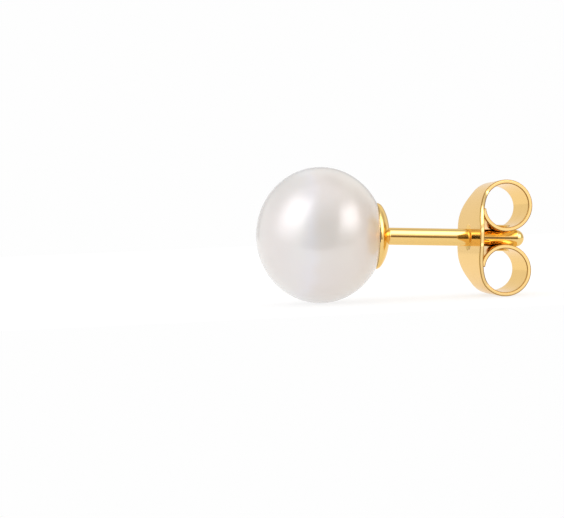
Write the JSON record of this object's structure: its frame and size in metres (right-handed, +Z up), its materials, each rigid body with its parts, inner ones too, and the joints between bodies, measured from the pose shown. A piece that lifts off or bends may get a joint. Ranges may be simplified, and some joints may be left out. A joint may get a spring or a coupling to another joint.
{
  "type": "pearl stud earring",
  "caption": "Pearl stud earring: a near-round pearl in a gold cup on a plain post, with a sliding butterfly clutch of bent sheet gold, lying as put down.",
  "frame": {"origin": "middle of the footprint, on the surface that the pearl and the clutch's lower scroll rest on", "axes": "+X along the post from the pearl to the clutch, seen from above, +Z up, Y across the clutch's plate"},
  "size_m": [0.015, 0.0074, 0.0075],
  "materials": {
    "nacre": "lustrous pearl nacre",
    "gold": "polished yellow gold"
  },
  "bodies": {
    "stud": {"pearl": "nacre", "post_and_cup": "gold"},
    "clutch": {"butterfly_clutch": "gold"}
  },
  "joints": [
    {"name": "clutch_slide", "type": "slide", "parent": "stud", "child": "clutch", "axis": [0.9983, 0, -0.0583], "range_m": [-0.0043, 0.0033]}
  ]
}
